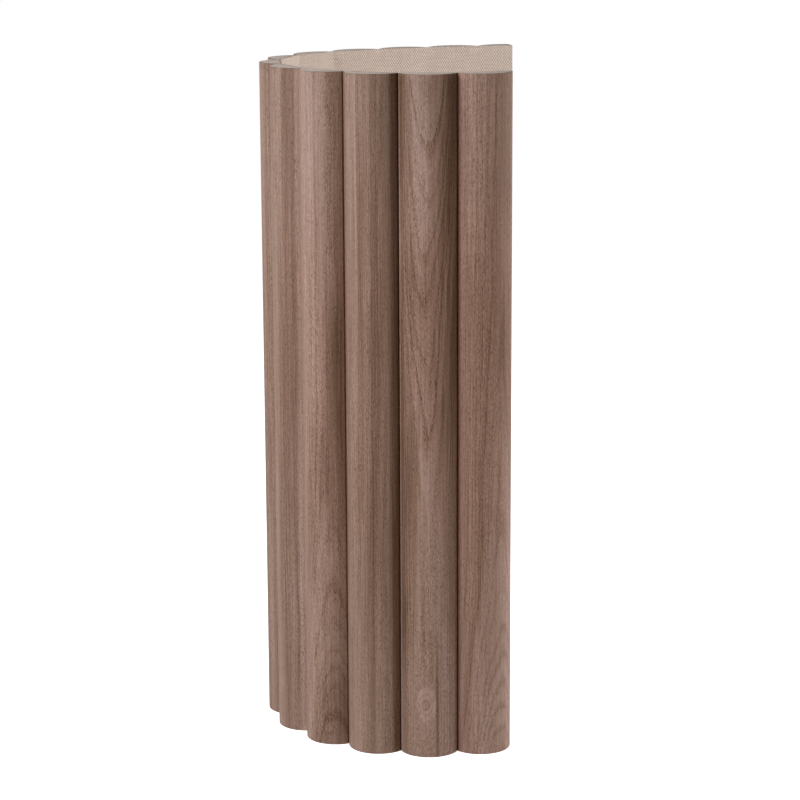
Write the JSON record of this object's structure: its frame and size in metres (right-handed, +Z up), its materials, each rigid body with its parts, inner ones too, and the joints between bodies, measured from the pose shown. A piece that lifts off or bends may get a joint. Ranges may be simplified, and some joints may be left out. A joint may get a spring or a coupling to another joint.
{
  "type": "tambour wall panel",
  "caption": "Flexible tambour panel of half-round walnut slats on a woven canvas backing, standing on its slat ends and bent into an open C; lines curved walls and furniture.",
  "frame": {"origin": "middle of the bent panel's box, on the floor that the slat ends stand on", "axes": "+Z up along the slats, +X towards the open mouth of the C, -Y towards the front run"},
  "size_m": [0.1181, 0.1712, 0.3048],
  "materials": {
    "walnut": "satin",
    "canvas": "matte plain weave"
  },
  "bodies": {
    "root": {"slat_01": "walnut", "slat_02": "walnut", "slat_03": "walnut", "slat_04": "walnut", "slat_05": "walnut", "slat_06": "walnut", "slat_07": "walnut", "slat_08": "walnut", "slat_09": "walnut", "slat_10": "walnut", "slat_11": "walnut", "slat_12": "walnut", "canvas_backing": "canvas"}
  },
  "joints": []
}
